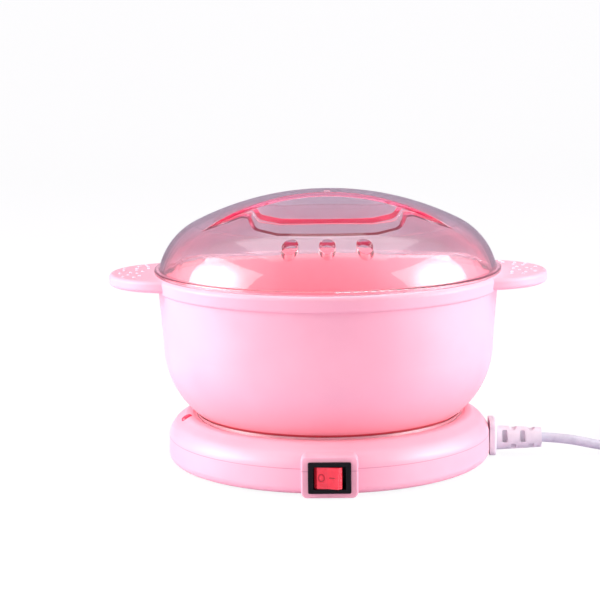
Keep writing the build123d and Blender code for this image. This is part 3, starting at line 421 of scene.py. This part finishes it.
ceramic = Graph("steatite")
pores = ceramic.noise(1500.0, 4.0)
ceramic.shader(
    Base_Color=ceramic.mix(pores, (0.70, 0.68, 0.62, 1), (0.84, 0.83, 0.78, 1)),
    Roughness=pores * 0.2 + 0.6,
    Normal=ceramic.bump(pores, 0.0001, 0.5),
)
dress(ceramic, "shield_spacers")

phenolic = Graph("phenolic_resin")
fleck = phenolic.noise(900.0, 4.0)
phenolic.shader(
    Base_Color=phenolic.mix(fleck.step(0.5, 0.7), (0.030, 0.018, 0.014, 1), (0.075, 0.045, 0.035, 1)),
    Roughness=fleck * 0.2 + 0.35,
    Normal=phenolic.bump(fleck, 0.0001, 0.4),
)
dress(phenolic, "thermostat_body")

brass = Graph("tinned_brass")
tarnish = brass.noise(380.0, 4.0)
brass.shader(
    Base_Color=brass.mix(tarnish.step(0.35, 0.7), (0.68, 0.50, 0.22, 1), (0.55, 0.40, 0.20, 1)),
    Metallic=1.0,
    Roughness=tarnish * 0.2 + 0.25,
)
dress(brass, "thermostat_terminals", "switch_terminals")

# ---- Wiring -------------------------------------------------------------------------------------
# PVC-covered wires between terminal block, switch, fuse, thermostat and heater, and the nylon block
# and clamp that hold the lead's end.
WIRE_COLOURS = {
    "wire_brown": ((0.105, 0.040, 0.018, 1), ("live_wire", "switched_wire", "fuse_wire", "heater_wire")),
    "wire_blue": ((0.018, 0.055, 0.30, 1), ("neutral_wire",)),
    "wire_white": ((0.72, 0.72, 0.72, 1), ("cord_cores", "lamp_wires")),
    "nylon": ((0.74, 0.72, 0.70, 1), ("terminal_block", "cord_clamp")),
}
for name, (colour, nodes) in WIRE_COLOURS.items():
    cover = Graph(name)
    smear = cover.noise(650.0, 3.0)
    paler = tuple(min(1.0, part * 1.35 + 0.01) for part in colour[:3]) + (1,)
    cover.shader(
        Base_Color=cover.mix(smear.step(0.3, 0.8), colour, paler),
        Roughness=smear * 0.2 + 0.3,
        Normal=cover.bump(smear, 0.0001, 0.3),
    )
    dress(cover, *nodes)

# ---- Switch -------------------------------------------------------------------------------------
# A snap-in rocker switch: a black nylon frame, and a translucent red key on two pins. Its marks for
# on and off, a bar and a ring, stand proud of the key.
KEY_PIVOT, KEY_REST_TILT = Vector((0, -0.084, 0.0113)), -10.0
MARK_PROUD, MARK_SUNK, RING_R, RING_LINE = 0.00024, 0.00005, 0.00135, 0.00036
BAR_LONG, BAR_STEPS = 0.0027, 8
# middle of each face of the level key, and the direction that the face looks
MARKS = {
    "off": ((-0.0031, -0.08961, 0.0115), (0.133, -0.991, 0)),
    "on": ((0.0022, -0.08949, 0.0115), (-0.133, -0.991, 0)),
}

switch_nylon = Graph("switch_nylon")
speck = switch_nylon.noise(1800.0, 3.0)
switch_nylon.shader(
    Base_Color=switch_nylon.mix(speck, (0.003, 0.003, 0.004, 1), (0.009, 0.009, 0.011, 1)),
    Roughness=speck * 0.16 + 0.30,
    Specular_IOR_Level=0.12,
    Normal=switch_nylon.bump(speck, 0.00004, 0.6),
)
dress(switch_nylon, "switch_body")

key_red = Graph("key_red")
flow = key_red.noise(300.0, 3.0)
key_red.shader(
    Base_Color=key_red.mix(flow.step(0.3, 0.8), (0.80, 0.022, 0.045, 1), (0.66, 0.012, 0.030, 1)),
    Roughness=flow * 0.10 + 0.16,
    # painted glow: the key emits a faint red light, though no lamp lights it
    Emission_Color=(0.9, 0.03, 0.06, 1),
    Emission_Strength=0.12,
    Coat_Weight=0.4,
)
dress(key_red, "switch_rocker")


def swept_line(points, half, closed):
    """Raised line of half width `half` along flat points, as vertices and faces, rounded on top."""
    section = [(cos(radians(a)), sin(radians(a))) for a in range(0, 181, 30)]
    vertices, faces, rows = [], [], len(section)
    count = len(points)
    for n, (x, y) in enumerate(points):
        before = points[n - 1] if n or closed else points[n]
        after = points[(n + 1) % count] if n + 1 < count or closed else points[n]
        along = Vector((after[0] - before[0], after[1] - before[1])).normalized()
        for out, up in section:
            height = up * MARK_PROUD - MARK_SUNK
            vertices.append((x - along.y * half * out, y + along.x * half * out, height))
    for n in range(count if closed else count - 1):
        a, b = n * rows, (n + 1) % count * rows
        faces += [(a + k, a + k + 1, b + k + 1, b + k) for k in range(rows - 1)]
    if not closed:
        faces += [tuple(range(rows)), tuple(range((count - 1) * rows, count * rows))[::-1]]
    return vertices, faces


ring_path = [(RING_R * cos(radians(a)), 1.25 * RING_R * sin(radians(a))) for a in range(0, 360, 12)]
bar_path = [(x * BAR_LONG / BAR_STEPS - BAR_LONG / 2, 0) for x in range(BAR_STEPS + 1)]
paths = {"off": (ring_path, True), "on": (bar_path, False)}
key_paint = Graph("key_mark")
worn = key_paint.noise(2500.0, 3.0)
key_paint.shader(
    Base_Color=key_paint.mix(worn.step(0.35, 0.8), (0.52, 0.008, 0.022, 1), (0.36, 0.004, 0.014, 1)),
    Roughness=worn * 0.2 + 0.25,
)
for name, (middle, look) in MARKS.items():
    vertices, faces = swept_line(paths[name][0], RING_LINE, paths[name][1])
    facing = Vector(look).normalized()
    side = Vector((0, 0, 1)).cross(facing).normalized()
    level = Matrix.Translation(middle) @ Matrix((side, (0, 0, 1), facing)).transposed().to_4x4()
    swing = Matrix.Rotation(radians(KEY_REST_TILT), 4, "Z")
    tilt = Matrix.Translation(KEY_PIVOT) @ swing @ Matrix.Translation(-KEY_PIVOT)
    mark = stand(f"key_mark_{name}", [tuple(tilt @ level @ Vector(v)) for v in vertices], faces)
    mark.data.shade_smooth()
    mark.data.materials.append(key_paint.material)
    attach(mark, "rocker")

# ---- Indicator ----------------------------------------------------------------------------------
# A small red lens pressed into the shoulder of the casing, over a neon lamp that glows when the
# heater is on.
lens_red = Graph("lens_red")
ripple = lens_red.noise(700.0, 2.0)
lens_red.shader(
    Base_Color=lens_red.mix(ripple, (0.82, 0.015, 0.060, 1), (0.92, 0.030, 0.090, 1)),
    Roughness=ripple * 0.08 + 0.10,
    Emission_Color=(1.0, 0.02, 0.08, 1),
    Emission_Strength=0.18,
    Coat_Weight=0.5,
    Normal=lens_red.bump(ripple, 0.0001, 0.3),
)
dress(lens_red, "indicator_lens")

neon_glass = Graph("neon_glass")
film = neon_glass.noise(500.0, 2.0)
neon_glass.shader(
    Base_Color=neon_glass.mix(film, (0.95, 0.70, 0.60, 1), (0.98, 0.86, 0.80, 1)),
    Roughness=film * 0.1 + 0.05,
    Transmission_Weight=0.8,
    IOR=1.5,
)
dress(neon_glass, "indicator_lamp")

# ---- Pot ----------------------------------------------------------------------------------------
# The lift-out pot, moulded in soft-touch pink with a satin skin: a round bowl under a stepped rim,
# and two half-round ears whose tops carry small raised dots for grip. A coral tint painted towards
# the foot stands in for light bounced up from the plate and casing, and a crimson line painted at
# the level of the plate's rim stands in for the shade in the gap there; its inside is a deeper pink.
POT_PALE, POT_DEEP = (0.92, 0.445, 0.545, 1), (0.88, 0.39, 0.49, 1)
# painted bounce light: coral towards the foot, fading out up the bowl
BOUNCE_CORAL, BOUNCE_LOW_Z, BOUNCE_HIGH_Z = (0.95, 0.33, 0.37, 1), 0.026, 0.052
# painted shade: a crimson line where the gap between pot and plate rim lies in shadow
GAP_SHADE, GAP_SHADE_Z, GAP_SHADE_HALF = (0.76, 0.09, 0.11, 1), 0.0274, 0.0005
POT_INSIDE = (0.93, 0.27, 0.345, 1)
EAR_TOP_Z, EAR_CENTRE_X, EAR_FLAT_R, EAR_FREE_R = 0.0999, 0.0782, 0.0325, 0.0955
DOT_R, DOT_HIGH, DOT_TRIES, DOT_SIDES, DOT_WANDER = 0.00095, 0.00055, 78, 12, 0.0016
GOLDEN_ANGLE, EAR_TURN = 137.508, 20
# a dot's outline from its sunk foot upwards: part of its radius, and height
DOT_RINGS = ((1.0, -0.0001), (0.96, 0.35 * DOT_HIGH), (0.72, 0.75 * DOT_HIGH), (0.36, 0.96 * DOT_HIGH))

pot_skin = Graph("pot_skin")
cloud = pot_skin.noise(16.0, 3.0)
grain = pot_skin.noise(2200.0, 3.0)
height = pot_skin.out("ShaderNodeSeparateXYZ", pick=2, Vector=pot_skin.place())
moulded = pot_skin.mix(cloud.step(0.3, 0.7), POT_PALE, POT_DEEP)
# painted bounce light: the foot turns coral as if lit from the plate and casing below
bounce_tinted = pot_skin.mix((1 - height.step(BOUNCE_LOW_Z, BOUNCE_HIGH_Z)) * 0.8, moulded, BOUNCE_CORAL)
# painted shade: crimson along the plate's rim, standing in for the shadowed gap and its pink reflection
from_line = abs(height - GAP_SHADE_Z)
outside = pot_skin.mix(1 - from_line.step(GAP_SHADE_HALF, 1.6 * GAP_SHADE_HALF), bounce_tinted, GAP_SHADE)
# the bowl's inner faces look towards the middle of its mouth, and its outer faces away from it
facing_out = pot_skin.out("ShaderNodeNewGeometry", pick=1)
from_mouth = pot_skin.out(
    "ShaderNodeVectorMath", {"operation": "SUBTRACT"}, i0=pot_skin.place(), i1=(0, 0, EAR_TOP_Z)
)
dot = {"operation": "DOT_PRODUCT"}
away = pot_skin.out("ShaderNodeVectorMath", dot, pick=1, i0=facing_out, i1=from_mouth)
pot_skin.shader(
    Base_Color=pot_skin.mix((away * -1).step(0.001, 0.006), outside, POT_INSIDE),
    Roughness=cloud * 0.10 + 0.42,
    Normal=pot_skin.bump(grain, 0.00003, 0.5),
)
dress(pot_skin, "pot")

dot_vertices, dot_faces = [], []
for side in (-1, 1):
    for n in range(DOT_TRIES):
        reach = EAR_FLAT_R * sqrt((n + 0.5) / DOT_TRIES)
        bearing = radians(n * GOLDEN_ANGLE + EAR_TURN * side)
        wander = noise.noise((n * 1.7, side * 3.1, 0.4)) * DOT_WANDER
        x = side * EAR_CENTRE_X + reach * cos(bearing) + wander
        y = reach * sin(bearing) - wander
        if hypot(x, y) < EAR_FREE_R:
            continue
        size = DOT_R * (0.85 + 0.35 * abs(noise.noise((n * 2.3, side, 5.0))))
        first = len(dot_vertices)
        for scale, up in DOT_RINGS:
            spin = [2 * pi * k / DOT_SIDES for k in range(DOT_SIDES)]
            dot_vertices += [
                (x + size * scale * cos(a), y + size * scale * sin(a), EAR_TOP_Z + up) for a in spin
            ]
        peak = len(dot_vertices)
        dot_vertices.append((x, y, EAR_TOP_Z + DOT_HIGH))
        for level in range(len(DOT_RINGS) - 1):
            for k in range(DOT_SIDES):
                a, b = first + level * DOT_SIDES + k, first + level * DOT_SIDES + (k + 1) % DOT_SIDES
                dot_faces.append((a, b, b + DOT_SIDES, a + DOT_SIDES))
        top = peak - DOT_SIDES
        dot_faces += [(top + k, top + (k + 1) % DOT_SIDES, peak) for k in range(DOT_SIDES)]
        dot_faces.append(tuple(range(first + DOT_SIDES - 1, first - 1, -1)))
ear_dots = stand("ear_dots", dot_vertices, dot_faces)
smooth(ear_dots, 60)

dot_skin = Graph("dot_skin")
rub = dot_skin.noise(1200.0, 3.0)
dot_skin.shader(
    Base_Color=dot_skin.mix(rub, (0.94, 0.56, 0.68, 1), (0.98, 0.70, 0.80, 1)), Roughness=rub * 0.15 + 0.25
)
ear_dots.data.materials.append(dot_skin.material)
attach(ear_dots, "pot")

# ---- Lid ----------------------------------------------------------------------------------------
# A dome moulded in clear pink-cast plastic, 2.5 mm thick, with a finger pocket on each side of the
# ridge it is lifted by, three steam holes and a flat rim. A crimson glow painted into the plastic,
# strongest where light crosses most of it, stands in for the light that its edges catch.
LID_INDEX, EDGE_ROUND = 1.49, 0.0006
# painted glow: the plastic's volume emits crimson, though it is no lamp
PAINTED_EDGE_GLOW, PAINTED_GLOW_PER_M = (0.85, 0.0, 0.10, 1), 11.0
GATE_PLACE, GATE_R, GATE_LINE = (0, -0.0075, 0.1421), 0.0016, 0.00028

lid_clear = Graph("lid_clear")
haze = lid_clear.noise(30.0, 3.0)
rounded = lid_clear.out("ShaderNodeBevel", {"samples": 6}, Radius=EDGE_ROUND)
lid_clear.shader(
    Base_Color=lid_clear.mix(haze.step(0.3, 0.8), (1.0, 0.988, 0.995, 1), (1.0, 0.978, 0.990, 1)),
    Roughness=haze * 0.03 + 0.01,
    IOR=LID_INDEX,
    Transmission_Weight=1.0,
    Coat_Weight=0.6,
    Coat_Roughness=0.22,
    Normal=rounded,
)
tint = lid_clear.node("ShaderNodeVolumeAbsorption", Color=(1.0, 0.08, 0.45, 1), Density=17.0)
# painted glow: crimson emission inside the plastic, more where the path through it is longer
painted_glow = lid_clear.node("ShaderNodeEmission", Color=PAINTED_EDGE_GLOW, Strength=PAINTED_GLOW_PER_M)
both = lid_clear.node("ShaderNodeAddShader")
lid_clear.tree.links.new(tint.outputs[0], both.inputs[0])
lid_clear.tree.links.new(painted_glow.outputs[0], both.inputs[1])
lid_clear.tree.links.new(both.outputs[0], lid_clear.output.inputs["Volume"])
dress(lid_clear, "lid")
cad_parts["lid"].visible_shadow = False

gate_path = [(GATE_R * cos(radians(a)), GATE_R * sin(radians(a))) for a in range(0, 360, 15)]
vertices, faces = swept_line(gate_path, GATE_LINE, True)
gate_mark = stand("lid_gate_mark", [tuple(Vector(GATE_PLACE) + Vector(v)) for v in vertices], faces)
gate_mark.data.shade_smooth()
gate_clear = Graph("gate_clear")
melt = gate_clear.noise(900.0, 2.0)
gate_clear.shader(
    Base_Color=gate_clear.mix(melt, (1.0, 0.60, 0.72, 1), (1.0, 0.72, 0.80, 1)),
    Roughness=melt * 0.1 + 0.05,
    IOR=LID_INDEX,
    Transmission_Weight=0.7,
)
gate_mark.data.materials.append(gate_clear.material)
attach(gate_mark, "lid")
